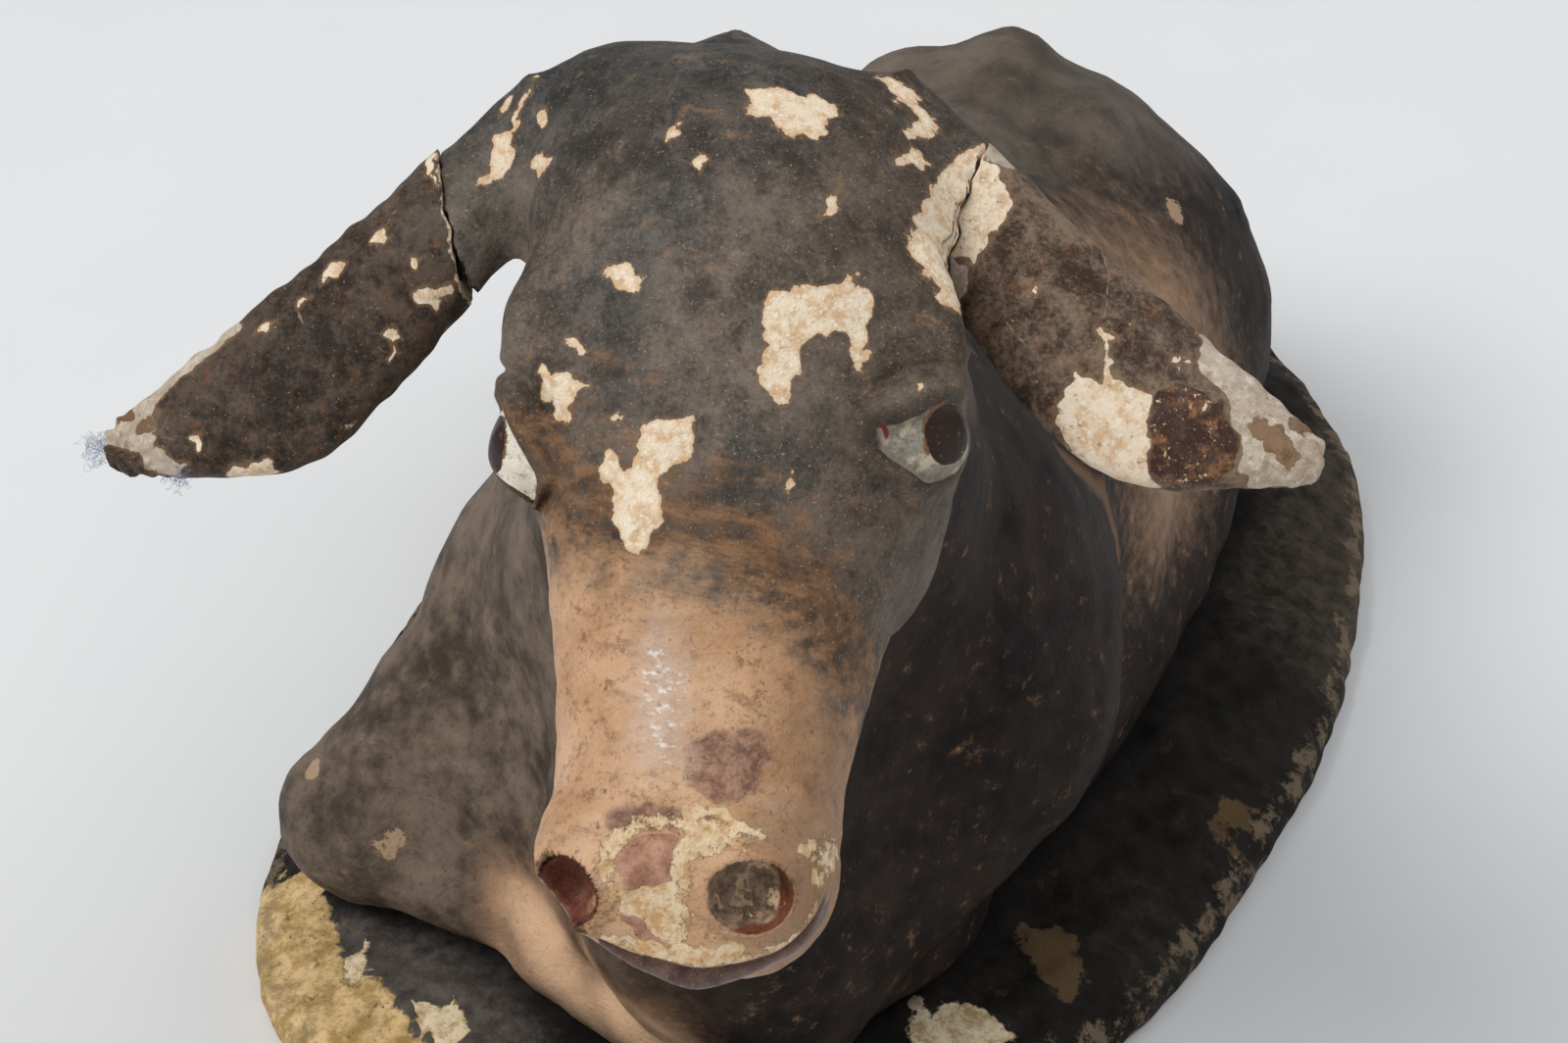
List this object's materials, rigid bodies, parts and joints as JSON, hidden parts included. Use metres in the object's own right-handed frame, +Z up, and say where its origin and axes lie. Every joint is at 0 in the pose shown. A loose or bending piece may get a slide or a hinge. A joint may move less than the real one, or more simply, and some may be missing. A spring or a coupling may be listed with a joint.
{
  "type": "recumbent ox figure",
  "caption": "Papier-mache figure of a hornless ox lying on a low oval mound, its head raised and its ears drooping forward; stands on its flat underside for display.",
  "frame": {"origin": "middle of the mound's underside", "axes": "+Z up from the surface it stands on, -Y towards the front of the ox, +X towards the ox's left side"},
  "size_m": [0.1917, 0.3759, 0.2099],
  "materials": {
    "hide_paint": "dark distemper over tan ground on papier-mache, matte, flaked down to cream gesso in places",
    "ear_paint": "dark brown paint on papier-mache, crazed and flaked to cream gesso along the edges and ends",
    "mound_paint": "near-black over yellow-green paint on papier-mache, matte, worn at the rim"
  },
  "bodies": {
    "root": {"mound_base": "mound_paint", "ox": "hide_paint", "left_ear": "ear_paint", "right_ear": "ear_paint"}
  },
  "joints": []
}
